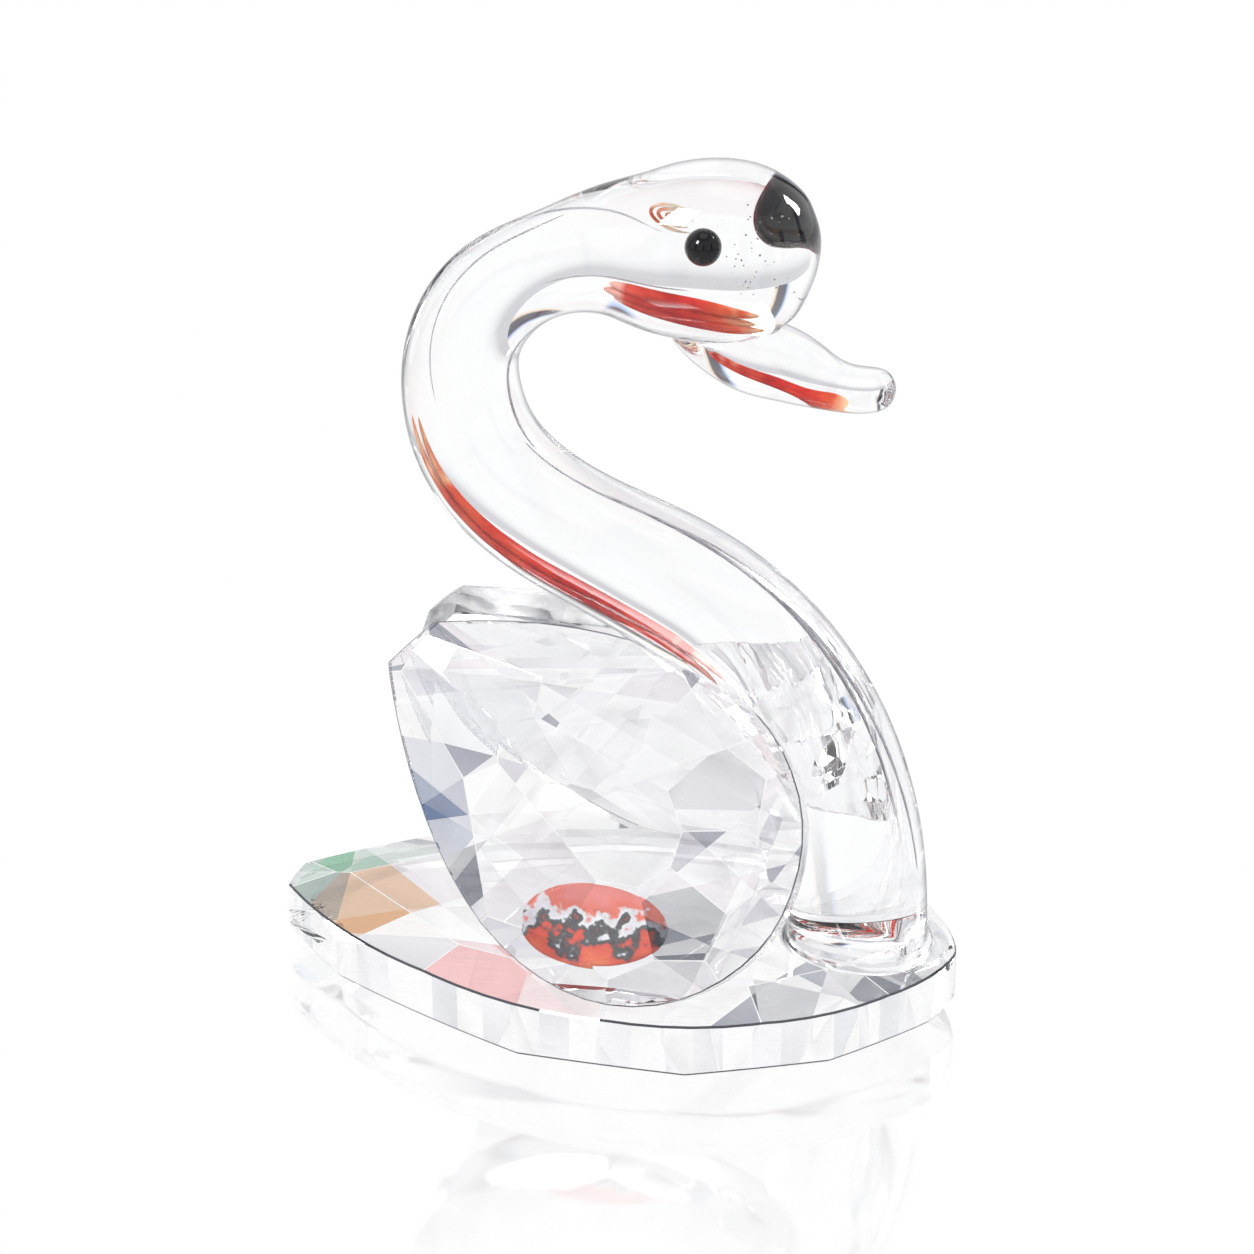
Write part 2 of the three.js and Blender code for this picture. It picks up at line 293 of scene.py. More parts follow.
def make_drawn_glass():
    material, tree, shader = new_material("drawn glass", Transmission_Weight=1.0, IOR=1.5, Metallic=0.0)
    finish = grouped(tree, polish, Roughest=0.012, Tint=(0.965, 0.975, 0.985, 1))
    # Painted shade: a dark contour where the rod turns edge on to the eye.
    dark = painted_contour_shade(tree, 0.60, 0.86, (0.07, 0.075, 0.09), 0.40)
    tree.links.new(multiply_colors(tree, finish.outputs["Color"], dark), shader.inputs["Base Color"])
    tree.links.new(finish.outputs["Roughness"], shader.inputs["Roughness"])
    wave = grouped(tree, waviness, Scale=160.0, Stretch=0.3)
    bump = add_node(tree, "ShaderNodeBump", Strength=0.12, Distance=0.0006, Height=wave.outputs["Height"])
    tree.links.new(bump.outputs["Normal"], shader.inputs["Normal"])
    return material


def make_cut_glass():
    material, tree, shader = new_material("cut crystal", Transmission_Weight=1.0, IOR=1.54, Metallic=0.0)
    finish = grouped(tree, polish, Roughest=0.004, Tint=(0.975, 0.98, 0.99, 1))
    # The painted fire and painted reflections of each facet, set per corner in cut_stone.
    facet = add_node(tree, "ShaderNodeAttribute", {"attribute_name": "painted_fire_and_reflections"})
    seen = add_node(tree, "ShaderNodeLightPath").outputs["Is Camera Ray"]
    painted_fire_and_reflections = add_node(tree, "ShaderNodeMix", {"data_type": "RGBA"}, Factor=remap(tree, seen, 0, 1, 0.30, 1.0),
                    _6=(1, 1, 1, 1), _7=facet.outputs["Color"]).outputs[2]
    frost = math_node(tree, "MULTIPLY", math_node(tree, "SUBTRACT", 1.0, facet.outputs["Alpha"]), 0.22)
    # Painted shade: a grey contour where a facet turns edge on to the eye.
    dark = painted_contour_shade(tree, 0.74, 0.97, (0.30, 0.31, 0.34), 0.5)
    color = multiply_colors(tree, multiply_colors(tree, finish.outputs["Color"], painted_fire_and_reflections), dark)
    tree.links.new(color, shader.inputs["Base Color"])
    tree.links.new(math_node(tree, "ADD", finish.outputs["Roughness"], frost), shader.inputs["Roughness"])
    return material


drawn_glass = make_drawn_glass()
cut_glass = make_cut_glass()

# %% [markdown]
# ## Cut stones
# The base and the wings are right as they are, but no real stone has edges of no width.
# Each is copied, its loose triangles are merged into whole facets, and a tiny bevel runs
# along every edge. A facet of real crystal also shows straight-edged pieces of the others,
# mirrored in it. Here those are painted reflections: planes that slice through the stone
# divide its facets in the same way without changing its shape, and each piece gets a
# painted grey, or a painted colour near an accent. The rim bevels get a dark painted shade
# for the dark lines along real edges, and each corner is a little darker at random, a
# painted shading across the facet. The shader takes the root of a colour where light
# enters glass, so the colours are squared.

# %% Cut stones
FACET, BAND, RIM, RIDGE = range(4)
RIDGE_WIDTH = 0.00006
SHORTEST_EDGE = 0.0001
LARGE_FACE = 9e-6
# Painted reflection greys for the pieces of each facet, most of them white.
GREYS = [(1, 1, 1)] * 8 + [(0.95, 0.94, 0.96)] * 3 + [(0.86, 0.85, 0.88), (0.96, 0.92, 0.94), (0.74, 0.73, 0.77), (0.48, 0.49, 0.54)]
BAND_GREYS = [(1, 1, 1)] * 7 + [(0.95, 0.95, 0.97)] * 4 + [(0.84, 0.85, 0.88)]
LARGE_GREYS = [(1, 1, 1)] * 7 + [(0.92, 0.90, 0.92)] * 3 + [(0.84, 0.83, 0.86)]


def copied_mesh(node):
    mesh = bpy.data.objects[node].data.copy()
    shape = bmesh.new()
    shape.from_mesh(mesh)
    bmesh.ops.remove_doubles(shape, verts=shape.verts, dist=1e-6)
    shape.to_mesh(mesh)
    shape.free()
    mesh.materials.clear()
    return mesh


def add_piece(name, mesh, material, *nodes, body="root"):
    piece = bpy.data.objects.new(name, mesh)
    scene.collection.objects.link(piece)
    if material is not None:
        mesh.materials.clear()
        mesh.materials.append(material)
    if nodes:
        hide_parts(*nodes)
    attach(piece, body)
    return piece


def polish_edges(shape, rim_width, ridge_width):
    """Bevels the stone's edges and notes on each face whether it is facet, band, rim or ridge."""
    bmesh.ops.dissolve_limit(shape, angle_limit=math.radians(0.4), verts=shape.verts, edges=shape.edges)
    bmesh.ops.remove_doubles(shape, verts=shape.verts, dist=SHORTEST_EDGE)
    part = shape.faces.layers.int.new("part")
    points = np.array([v.co for v in shape.verts])
    axis = Vector(np.linalg.svd(points - points.mean(axis=0))[2][-1])
    for face in shape.faces:
        face[part] = BAND if abs(face.normal.dot(axis)) < 0.12 else FACET
        face.smooth = face[part] == BAND
    for mark, kinds, width in ((RIM, {BAND, FACET}, rim_width), (RIDGE, {FACET}, ridge_width)):
        edges = [e for e in shape.edges if e.is_manifold and e.calc_face_angle() > math.radians(1.5)
                 and {face[part] for face in e.link_faces} == kinds]
        made = bmesh.ops.bevel(shape, geom=edges, offset=width, segments=1, affect="EDGES", clamp_overlap=False)
        for face in made["faces"]:
            face[part] = mark
            face.smooth = False
    for e in shape.edges:
        e.smooth = all(face[part] == BAND for face in e.link_faces) and e.calc_face_angle(0) < math.radians(25)


def slice_facets(shape, count, dice):
    """Divides the faces by planes that stand across the stone, each at its own slant."""
    points = np.array([v.co for v in shape.verts])
    low, high = points.min(axis=0), points.max(axis=0)
    along, across, axis = (Vector(v) for v in np.linalg.svd(points - points.mean(axis=0), full_matrices=False)[2])
    for _ in range(count):
        turn = dice.uniform(0, math.pi)
        normal = along * math.cos(turn) + across * math.sin(turn) + axis * dice.uniform(-0.5, 0.5)
        place = Vector([dice.uniform(a, b) for a, b in zip(low, high)])
        bmesh.ops.bisect_plane(shape, geom=shape.verts[:] + shape.edges[:] + shape.faces[:], dist=2e-6,
                               plane_co=place, plane_no=normal)


def cut_stone(node, rim_width, rim, frost, slices, seed, accents):
    mesh = copied_mesh(node)
    dice = random.Random(seed)
    shape = bmesh.new()
    shape.from_mesh(mesh)
    polish_edges(shape, rim_width, RIDGE_WIDTH)
    slice_facets(shape, slices, dice)
    shape.to_mesh(mesh)
    shape.free()
    parts = [item.value for item in mesh.attributes["part"].data]
    painted_colors = mesh.attributes.new("painted_fire_and_reflections", "FLOAT_COLOR", "CORNER")
    for face in mesh.polygons:
        part = parts[face.index]
        greys = BAND_GREYS if part == BAND else LARGE_GREYS if face.area > LARGE_FACE else GREYS
        # Painted light on each face: the rim bevels take the painted shade colour rim, the other faces a painted
        # reflection grey.
        color = Vector({RIM: rim, RIDGE: (1, 1, 1)}.get(part) or dice.choice(greys))
        # Near an accent the painted grey turns towards the accent's painted colour.
        for place, reach, accent in accents if part == FACET else []:
            near = 1 - (face.center - Vector(place) * MM).length / (reach * MM)
            color = color.lerp(Vector(accent), min(1.0, max(0.0, near) * 2) * dice.uniform(0.4, 1))
        polished = 1 - frost if part == BAND else 1
        for corner in face.loop_indices:
            # Painted shade: each corner a little darker at random, which shades the facet across.
            shade = color * dice.choice((1.0, 1.0, 1.0, 0.95, 0.88))
            painted_colors.data[corner].color = (shade.x ** 2, shade.y ** 2, shade.z ** 2, polished)
    mesh.attributes.remove(mesh.attributes["part"])
    piece = add_piece(f"cut_{node}", mesh, cut_glass, node)
    rim_area = sum(face.area for face in mesh.polygons if parts[face.index] == RIM)
    print(node, "faces:", len(parts), "rims:", parts.count(RIM), "rim area in mm2:", round(rim_area * 1e6, 1))
    return piece


# Accent colours of painted light: BLUE and SMOKE paint dark reflections, ROSE, GREEN and AMBER paint coloured flashes
# of the cut.
BLUE, SMOKE, ROSE = (0.10, 0.17, 0.33), (0.20, 0.21, 0.25), (0.92, 0.52, 0.52)
GREEN, AMBER = (0.16, 0.46, 0.27), (0.72, 0.40, 0.20)
WING_PAINTED_LIGHT = [((-17.0, -13.5, 21.0), 7, BLUE), ((-12.0, -16, 16.0), 4, SMOKE), ((10.5, -17, 14), 3.4, SMOKE), ((5, -16, 27), 3, SMOKE)]
BASE_PAINTED_LIGHT = [((-26, 1, 7.1), 7, GREEN), ((-23, -5, 7.2), 7, AMBER), ((-7, -16, 7.2), 8, ROSE), ((27, -7, 6.9), 6, SMOKE),
             ((18, -14, 7.1), 4, SMOKE), ((-29, -4, 5), 4, SMOKE), ((30, -5, 3), 4, SMOKE)]
# After the rim width comes the rim bevels' painted shade: darkest on the base, palest on the far wing.
cut_stone("base", 0.00016, (0.07, 0.075, 0.09), 0.0, 26, 3, BASE_PAINTED_LIGHT)
cut_stone("wing_right", 0.00012, (0.20, 0.205, 0.23), 0.6, 24, 4, WING_PAINTED_LIGHT)
cut_stone("wing_left", 0.00012, (0.60, 0.61, 0.65), 0.6, 11, 5, [((x, -y, z), reach, color) for (x, y, z), reach, color in WING_PAINTED_LIGHT])

# %% [markdown]
# ## Neck, head and beak
# A lampworker draws one rod, bends it and swells its end into the head. So it's a loft:
# rings that ride along a smooth curve. The curve is a cubic spline with even curvature,
# because glass shows every kink. Squared radii are blended instead of radii, which
# rounds the ends off like a drop. The beak is a second loft, joined by a boolean.

# %% Smooth curves
HEIGHT = 80.2


def spline(knots, values, at):
    """Natural cubic spline through values at knots, read at the places in at."""
    knots, values = np.asarray(knots, float), np.asarray(values, float)
    gaps = np.diff(knots)
    count = len(knots)
    system = np.eye(count)
    right = np.zeros(count)
    for i in range(1, count - 1):
        system[i, i - 1:i + 2] = gaps[i - 1], 2 * (gaps[i - 1] + gaps[i]), gaps[i]
        right[i] = 6 * ((values[i + 1] - values[i]) / gaps[i] - (values[i] - values[i - 1]) / gaps[i - 1])
    bend = np.linalg.solve(system, right)
    i = np.clip(np.searchsorted(knots, at, side="right") - 1, 0, count - 2)
    a, b, gap = knots[i + 1] - at, at - knots[i], gaps[i]
    return (bend[i] * a ** 3 + bend[i + 1] * b ** 3) / (6 * gap) \
        + (values[i] / gap - bend[i] * gap / 6) * a + (values[i + 1] / gap - bend[i + 1] * gap / 6) * b


def stations_at(stations, places):
    """Centre, tangent, radius and half width along a list of stations, at shares from 0 to 1."""
    table = np.array(stations, float)
    table[:, :2] *= HEIGHT / 100
    knots = np.concatenate([[0], np.cumsum(np.hypot(*np.diff(table[:, :2], axis=0).T))])
    at = np.asarray(places) * knots[-1]
    x, z = spline(knots, table[:, 0], at), spline(knots, table[:, 1], at)
    sizes = [np.sqrt(np.maximum(spline(knots, table[:, k] ** 2, at), 1e-4)) for k in (2, 3)]
    step = 1e-3
    tx = spline(knots, table[:, 0], at + step) - spline(knots, table[:, 0], at - step)
    tz = spline(knots, table[:, 1], at + step) - spline(knots, table[:, 1], at - step)
    size = np.hypot(tx, tz)
    return x, z, tx / size, tz / size, sizes[0], sizes[1]


def skin(rings, start=0):
    """Points and faces of a closed skin over rings of points, with a point at each end."""
    count = len(rings[0])
    points = [tuple(p) for ring in rings for p in ring]
    faces = []
    for i in range(len(rings) - 1):
        for j in range(count):
            a, b = i * count + j, i * count + (j + 1) % count
            faces.append((a, b, b + count, a + count))
    for ring, flip in ((0, True), (len(rings) - 1, False)):
        middle = len(points)
        points.append(tuple(np.mean(rings[ring], axis=0)))
        for j in range(count):
            a, b = ring * count + j, ring * count + (j + 1) % count
            faces.append((b, a, middle) if flip else (a, b, middle))
    return points, [tuple(i + start for i in face) for face in faces]


def outwards(mesh):
    shape = bmesh.new()
    shape.from_mesh(mesh)
    bmesh.ops.recalc_face_normals(shape, faces=shape.faces)
    shape.to_mesh(mesh)
    shape.free()
    return mesh


def loft(name, *bodies):
    """One mesh of one or more skins, each over its own list of rings."""
    points, faces = [], []
    for rings in bodies:
        more_points, more_faces = skin(rings, len(points))
        points += more_points
        faces += more_faces
    mesh = bpy.data.meshes.new(name)
    mesh.from_pydata(points, [], faces)
    return outwards(mesh)


def drawn(name, stations, steps, around, round_end=True):
    places = np.linspace(0, 1, steps)
    if round_end:
        places = np.concatenate([places[places < 0.93], 0.93 + 0.07 * np.sin(np.linspace(0, np.pi / 2, 40))])
    x, z, tx, tz, tall, wide = stations_at(stations, places)
    turn = np.arange(around) / around * 2 * np.pi
    rings = []
    for i in range(len(places)):
        up = tall[i] * np.sin(turn)
        rings.append(np.stack([x[i] - tz[i] * up, wide[i] * np.cos(turn), z[i] + tx[i] * up], 1) * MM)
    return loft(name, rings)


# %% Neck and beak stations
FOOT, ROD, THIN, HEAD, WIDE = 6.3, 6.0, 4.75, 8.1, 6.9
FOOT_X = 22.6 / HEIGHT * 100
NECK = [
    (FOOT_X + 0.4, 8.2, FOOT, FOOT), (FOOT_X, 14.0, FOOT * 1.03, FOOT * 1.03),
    (27.2, 22.5, FOOT * 1.03, FOOT * 1.03), (24.6, 31.4, FOOT * 1.02, FOOT * 1.02),
    (20.6, 39.0, FOOT, FOOT), (14.4, 45.8, FOOT, FOOT), (5.6, 51.2, FOOT, FOOT),
    (-2.6, 54.8, ROD, ROD), (-10.4, 59.0, ROD * 0.98, ROD * 0.98), (-15.8, 64.6, ROD * 0.95, ROD * 0.95),
    (-18.0, 71.2, ROD * 0.9, ROD * 0.9), (-17.6, 77.4, THIN * 1.07, THIN * 1.07),
    (-13.6, 83.6, THIN * 1.02, THIN * 1.02), (-7.0, 87.4, THIN, THIN), (-0.6, 89.1, THIN * 1.26, THIN * 1.14),
    (4.6, 89.4, HEAD * 0.9, WIDE * 0.92), (10.6, 89.9, HEAD, WIDE), (15.4, 89.8, HEAD * 0.95, WIDE * 0.96),
    (18.3, 89.5, HEAD * 0.8, WIDE * 0.84), (20.2, 89.25, HEAD * 0.62, WIDE * 0.67),
    (21.4, 89.1, HEAD * 0.38, WIDE * 0.42), (22.0, 89.0, 0.05, 0.05)]
TALL, BROAD = 3.3, 3.9
BEAK = [
    (6.4, 80.8, TALL * 0.15, BROAD * 0.4), (10.4, 79.6, TALL * 0.7, BROAD * 0.85), (14.8, 78.6, TALL, BROAD),
    (18.4, 77.8, TALL * 0.98, BROAD * 0.98), (21.0, 76.9, TALL * 0.86, BROAD * 0.9),
    (23.6, 76.0, TALL * 0.68, BROAD * 0.82), (26.2, 75.6, TALL * 0.6, BROAD * 0.78),
    (28.6, 75.7, TALL * 0.56, BROAD * 0.72), (30.2, 75.9, TALL * 0.38, BROAD * 0.5), (30.8, 76.0, 0.05, 0.05)]


def boolean(piece, operation, mesh):
    tool = bpy.data.objects.new("tool", mesh)
    scene.collection.objects.link(tool)
    change = piece.modifiers.new("boolean", "BOOLEAN")
    change.operation, change.solver, change.object = operation, "EXACT", tool
    result = bpy.data.meshes.new_from_object(piece.evaluated_get(bpy.context.evaluated_depsgraph_get()))
    piece.modifiers.clear()
    piece.data = result
    bpy.data.objects.remove(tool)
    return result


# %% Neck and head
def make_neck():
    maker = bpy.data.objects.new("maker", drawn("neck", NECK, 330, 84))
    scene.collection.objects.link(maker)
    boolean(maker, "UNION", drawn("beak", BEAK, 90, 60))
    seat = copied_mesh("base")
    for vertex in seat.vertices:
        vertex.co.z += 0.3 * MM
    mesh = boolean(maker, "DIFFERENCE", seat)
    bpy.data.objects.remove(maker)
    mesh.name = "drawn_neck_and_head"
    mesh.shade_smooth()
    mesh.set_sharp_from_angle(angle=math.radians(38))
    piece = add_piece("drawn_neck_and_head", mesh, drawn_glass, "neck_and_head")
    print("neck triangles:", sum(len(p.vertices) - 2 for p in mesh.polygons))
    return piece


make_neck()

# %% [markdown]
# ## Eyes
# Each eye is a bead of black glass pressed into the side of the head while it was hot. The
# bead of the frame is right in place and size, so it's only made round and given its gloss.

# %% Eyes
def make_black_glass():
    material, tree, shader = new_material("black glass", IOR=1.32, Metallic=0.0, Coat_Weight=0.15)
    finish = grouped(tree, polish, Roughest=0.09, Tint=(0.7, 0.75, 0.8, 1))
    black = multiply_colors(tree, finish.outputs["Color"], (0.004, 0.004, 0.005, 1))
    tree.links.new(black, shader.inputs["Base Color"])
    tree.links.new(finish.outputs["Roughness"], shader.inputs["Roughness"])
    return material


black_glass = make_black_glass()
for node in ("eye_right", "eye_left"):
    low, high = (Vector(corner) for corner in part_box(node))
    shape = bmesh.new()
    bmesh.ops.create_icosphere(shape, subdivisions=4, radius=(high - low).x / 2 * 0.995)
    bmesh.ops.translate(shape, verts=shape.verts, vec=(low + high) / 2)
    mesh = bpy.data.meshes.new(f"bead_{node}")
    shape.to_mesh(mesh)
    shape.free()
    mesh.shade_smooth()
    bead = add_piece(f"bead_{node}", mesh, black_glass, node)

# %% [markdown]
# ## Colour sealed in the glass
# Threads of red-orange glass run inside the neck, under the throat and along the beak. They
# were laid on the hot rod and drawn out with it, so each is a flat strip that follows the
# rod at some distance from its middle and thins out at both ends. A strip is a loft too,
# and an attribute along it drives the colour from deep red to pale orange.

# %% Red threads
def make_thread_glass(name, stops):
    material, tree, shader = new_material(name, Metallic=0.0, IOR=1.03, Roughness=0.5)
    along = add_node(tree, "ShaderNodeAttribute", {"attribute_name": "along"}).outputs["Fac"]
    wave = grouped(tree, waviness, Scale=700.0, Stretch=0.3).outputs["Height"]
    mixed = math_node(tree, "ADD", along, math_node(tree, "MULTIPLY", math_node(tree, "SUBTRACT", wave, 0.5), 0.5), clamp=True)
    color = ramp(tree, mixed, stops)
    tree.links.new(color, shader.inputs["Base Color"])
    return material


red_glass = make_thread_glass("sealed red glass", [
    (0.0, (0.88, 0.46, 0.38)), (0.14, (0.70, 0.07, 0.04)), (0.42, (0.42, 0.006, 0.006)),
    (0.62, (0.58, 0.018, 0.010)), (0.85, (0.72, 0.09, 0.03)), (1.0, (0.90, 0.52, 0.30))])


AROUND = 12


def strand(centres, ups, thick, wide, across):
    """Rings of a flat strip through centres (mm), thick along ups and wide along across."""
    turn = np.arange(AROUND) / AROUND * 2 * np.pi
    rings = []
    for i, centre in enumerate(centres):
        swell = max(0.06, math.sin(math.pi * i / (len(centres) - 1)) ** 0.45)
        round_it = np.outer(np.sin(turn), ups[i]) * thick + np.outer(np.cos(turn), across) * wide
        rings.append((centre + round_it * swell) * MM)
    return rings


def bundle(name, strands, material=red_glass):
    """One piece of several strands, with the attribute along that runs from 0 to 1 on each."""
    mesh = loft(name, *strands)
    along = []
    for rings in strands:
        along += [i / (len(rings) - 1) for i in range(len(rings)) for _ in range(AROUND)] + [0.0, 1.0]
    mesh.attributes.new("along", "FLOAT", "POINT").data.foreach_set("value", along)
    mesh.shade_smooth()
    piece = add_piece(name, mesh, material)
    print(name, "strands:", len(strands))
    return piece


def strands_in_rod(name, stations, start, end, offsets, thick, wide, count, seed, material=red_glass, steps=70):
    """Strands side by side in a rod, each a little apart and shifted along its neighbours."""
    dice = random.Random(seed)
    strands = []
    for k in range(count):
        shift = (end - start) * 0.10 * (dice.random() - 0.5)
        shift_out = 0.16 * (k / max(1, count - 1) - 0.5)
        x, z, tx, tz, tall, _ = stations_at(stations, np.linspace(start + shift, end + shift * 0.6, steps))
        ups = np.stack([-tz, 0 * tz, tx], 1)
        sideways = np.array([0.0, wide * 0.8 * (dice.random() - 0.5), 0.0])
        away = (np.linspace(*offsets, steps) + shift_out * thick) * tall
        centres = np.stack([x, 0 * x, z], 1) + ups * away[:, None] + sideways
        strands.append(strand(centres, ups, thick / count ** 0.5, wide * dice.uniform(0.7, 1.0), np.array([0.0, 1.0, 0.0])))
    return bundle(name, strands, material)


strands_in_rod("neck_thread", NECK, 0.30, 0.62, (0.50, 0.54), 0.40, 1.2, 2, 1)
strands_in_rod("throat_thread", NECK, 0.835, 0.950, (-0.38, -0.56), 0.85, 1.1, 3, 2)
strands_in_rod("beak_thread", BEAK, 0.20, 0.85, (-0.28, -0.44), 0.20, 0.55, 2, 3)

# %% [markdown]
# ## Painted lines in the rod
# Drawing a rod leaves the glass not quite even, and that bends the light into faint dark
# lines along it. They are painted shade here: hair-thin strands of grey glass, made by the
# same function.

# %% Painted shade lines in the rod
def make_painted_line_glass():
    material, tree, shader = new_material("painted shade line", Metallic=0.0, IOR=1.5, Roughness=0.3)
    wave = grouped(tree, waviness, Scale=500.0, Stretch=0.4).outputs["Height"]
    # Painted shade: the grey of the lines, darker and lighter along them.
    tree.links.new(ramp(tree, wave, [(0.2, (0.26, 0.26, 0.30)), (0.8, (0.62, 0.62, 0.66))]), shader.inputs["Base Color"])
    return material


painted_line_glass = make_painted_line_glass()
for number, (start, end, first, last) in enumerate([
        (0.06, 0.34, -0.72, -0.60), (0.12, 0.46, -0.50, -0.66), (0.22, 0.55, -0.78, -0.55),
        (0.40, 0.74, 0.70, 0.76), (0.62, 0.80, 0.30, 0.55), (0.55, 0.76, -0.60, -0.72),
        (0.76, 0.88, 0.90, 0.20), (0.77, 0.90, -0.20, -0.30)]):
    strands_in_rod(f"rod_line_{number + 1}", NECK, start, end, (first, last), 0.055, 0.17, 2, 20 + number, painted_line_glass)

# %% Painted shade lines where the beak leaves the head
# Grey strands of painted shade along the crease where the beak leaves the head.
painted_fold_lines = []
for number in range(5):
    share = np.linspace(0, 1, 24)
    x = 16.9 - 0.55 * number - 3.2 * share ** 1.5
    z = 69.6 - 0.2 * number - 4.6 * share
    path = np.stack([x, -1.2 + 0.35 * number + 0 * x, z], 1)
    ups = np.tile([0.85, 0.0, -0.5], (24, 1))
    painted_fold_lines.append(strand(path, ups, 0.06, 0.16, np.array([0.0, 1.0, 0.0])))
bundle("beak_folds", painted_fold_lines, painted_line_glass)

# %% [markdown]
# ## Curl beside the eye
# A short end of the same thread is curled up next to the right eye. It's three parts of
# ellipses, one inside the other, in the plane of the head's side and tipped forwards.

# %% Curl
CURL_PLACE, CURL_TIP = (6.3, -4.2, 76.0), math.radians(-16)


def curl_strand(long, high, first, last):
    turn = np.linspace(first, last, 40) * np.pi
    x, z = long * np.cos(turn), high * np.sin(turn)
    tipped = np.stack([x * math.cos(CURL_TIP) - z * math.sin(CURL_TIP), 0 * turn,
                       x * math.sin(CURL_TIP) + z * math.cos(CURL_TIP)], 1)
    ups = tipped / np.linalg.norm(tipped, axis=1)[:, None]
    return strand(np.array(CURL_PLACE) + tipped, ups, 0.17, 0.30, np.array([0.0, 1.0, 0.0]))


pale_glass = make_thread_glass("pale curl glass", [
    (0.0, (0.80, 0.66, 0.50)), (0.30, (0.86, 0.72, 0.56)), (0.48, (0.78, 0.22, 0.10)),
    (0.60, (0.72, 0.14, 0.06)), (0.72, (0.84, 0.62, 0.44)), (1.0, (0.66, 0.56, 0.46))])
bundle("eye_curl", [curl_strand(*size) for size in ((2.3, 1.0, 0.25, 1.75), (1.6, 0.62, 0.1, 1.8), (0.8, 0.26, 0.3, 1.7))], pale_glass)

# %% [markdown]
# ## Bubbles
# A few dozen tiny bubbles hang in the front of the head, as grey balls whose grey is
# painted shade. They're all the same thing at different places and sizes, so Geometry
# Nodes scatter one small ball in a box.

# %% Bubbles
def make_bubble_tree(material):
    tree = bpy.data.node_groups.new("bubbles", "GeometryNodeTree")
    for label, kind, value in (("Count", "NodeSocketInt", 60), ("Middle", "NodeSocketVector", (0, 0, 0)),
                               ("Reach", "NodeSocketVector", (0.001, 0.001, 0.001)), ("Radius", "NodeSocketFloat", 0.0001)):
        tree.interface.new_socket(label, in_out="INPUT", socket_type=kind).default_value = value
    tree.interface.new_socket("Geometry", in_out="OUTPUT", socket_type="NodeSocketGeometry")
    inputs = tree.nodes.new("NodeGroupInput").outputs
    shift = add_node(tree, "FunctionNodeRandomValue", {"data_type": "FLOAT_VECTOR"}, _0=(-1, -1, -1), _1=(1, 1, 1), Seed=7)
    reach = add_node(tree, "ShaderNodeVectorMath", {"operation": "MULTIPLY"}, _0=shift.outputs[0], _1=inputs["Reach"])
    place = add_node(tree, "ShaderNodeVectorMath", {"operation": "ADD"}, _0=reach.outputs[0], _1=inputs["Middle"])
    points = add_node(tree, "GeometryNodePoints", Count=inputs["Count"], Position=place.outputs[0])
    ball = add_node(tree, "GeometryNodeMeshIcoSphere", Radius=inputs["Radius"], Subdivisions=2)
    size = add_node(tree, "FunctionNodeRandomValue", {"data_type": "FLOAT"}, _2=0.3, _3=1.0, Seed=11)
    spread = add_node(tree, "GeometryNodeInstanceOnPoints", Points=points.outputs[0], Instance=ball.outputs[0], Scale=size.outputs[1])
    real = add_node(tree, "GeometryNodeRealizeInstances", Geometry=spread.outputs[0])
    dressed = add_node(tree, "GeometryNodeSetMaterial", Geometry=real.outputs[0], Material=material)
    tree.links.new(dressed.outputs[0], tree.nodes.new("NodeGroupOutput").inputs[0])
    return tree


def make_bubble_glass():
    material, tree, shader = new_material("bubble", Metallic=0.0, IOR=1.3)
    finish = grouped(tree, polish, Roughest=0.2, Tint=(0.4, 0.4, 0.45, 1))
    # Painted shade: an air bubble has no colour, so this grey stands in for the light it bends away.
    grey = multiply_colors(tree, finish.outputs["Color"], (0.42, 0.42, 0.46, 1))
    tree.links.new(grey, shader.inputs["Base Color"])
    tree.links.new(finish.outputs["Roughness"], shader.inputs["Roughness"])
    return material


def scatter_bubbles(name, count, middle, reach, radius):
    tree = make_bubble_tree(make_bubble_glass())
    maker = bpy.data.objects.new("maker", bpy.data.meshes.new("seed"))
    scene.collection.objects.link(maker)
    change = maker.modifiers.new("bubbles", "NODES")
    change.node_group = tree
    values = {"Count": count, "Middle": Vector(middle) * MM, "Reach": Vector(reach) * MM, "Radius": radius * MM}
    for socket in tree.interface.items_tree:
        if socket.name in values:
            change[socket.identifier] = values[socket.name]
    mesh = bpy.data.meshes.new_from_object(maker.evaluated_get(bpy.context.evaluated_depsgraph_get()))
    bpy.data.objects.remove(maker)
    mesh.name = name
    mesh.shade_smooth()
    piece = add_piece(name, mesh, None)
    print(name, "triangles:", len(mesh.polygons))
    return piece


scatter_bubbles("head_bubbles", 60, (12.6, -2.6, 73.0), (2.6, 2.4, 3.6), 0.085)

# %% [markdown]
# ## Glue
# The pieces are held by glue. Behind the right wing's foot it's tinted red-orange and has
# climbed up the inner side of the wing. Across its middle the colour is painted light: a
# black band of painted shade where a void in it looks dark, and a near-white band of
# painted glints. Round the neck it's clear: a low ring with a sloping side, darkened towards
# its edges by painted shade. Rays cast on to the wing and on to the base tell where each
# drop of glue meets the glass.

# %% Glue
from mathutils.bvhtree import BVHTree


def tree_of(name):
    mesh = bpy.data.objects[name].data
    return BVHTree.FromPolygons([v.co for v in mesh.vertices], [tuple(p.vertices) for p in mesh.polygons])


base_tree, wing_tree = tree_of("cut_base"), tree_of("cut_wing_right")


def top_of_base(x, y):
    hit = base_tree.ray_cast(Vector((x * MM, y * MM, 0.05)), Vector((0, 0, -1)))[0]
    return hit.z / MM if hit is not None else 6.7


